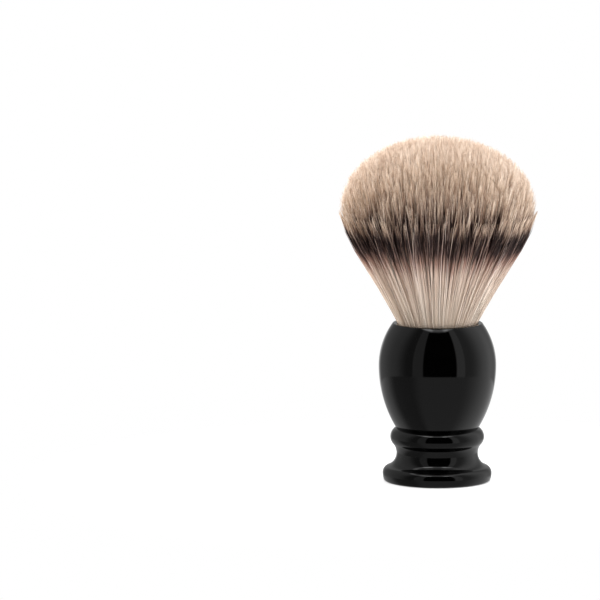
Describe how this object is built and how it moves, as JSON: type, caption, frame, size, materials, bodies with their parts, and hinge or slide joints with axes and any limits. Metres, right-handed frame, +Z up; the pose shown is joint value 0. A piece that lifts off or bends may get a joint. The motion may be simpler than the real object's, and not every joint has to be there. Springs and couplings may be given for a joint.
{
  "type": "shaving brush",
  "caption": "Free-standing shaving brush: a turned gloss-black handle with a bulb, bead and foot, and a domed knot of light fibres with a dark band.",
  "frame": {"origin": "centre of the foot's flat face, where the brush's axis meets the surface it stands on", "axes": "+Z up along the axis of the turned handle, from foot to fibre tips; X and Y are free, as the brush is round"},
  "size_m": [0.0656, 0.0656, 0.114],
  "materials": {
    "handle_resin": "gloss",
    "label_foil": "satin",
    "adhesive": "gloss",
    "plug_resin": "matte",
    "thread": "matte",
    "fibre": "satin"
  },
  "bodies": {
    "handle": {"handle": "handle_resin", "base_label": "label_foil", "socket_adhesive": "adhesive", "knot_plug": "plug_resin", "knot_thread": "thread", "bristle_root": "fibre"},
    "tuft": {"bristle_tuft": "fibre"}
  },
  "joints": [
    {"name": "bristle_bend", "type": "hinge", "parent": "handle", "child": "tuft", "pos_m": [0, 0, 0.0524], "axis": [0, 1, 0], "range_deg": [-30, 30], "stiffness_Nm_per_rad": 0.3}
  ]
}
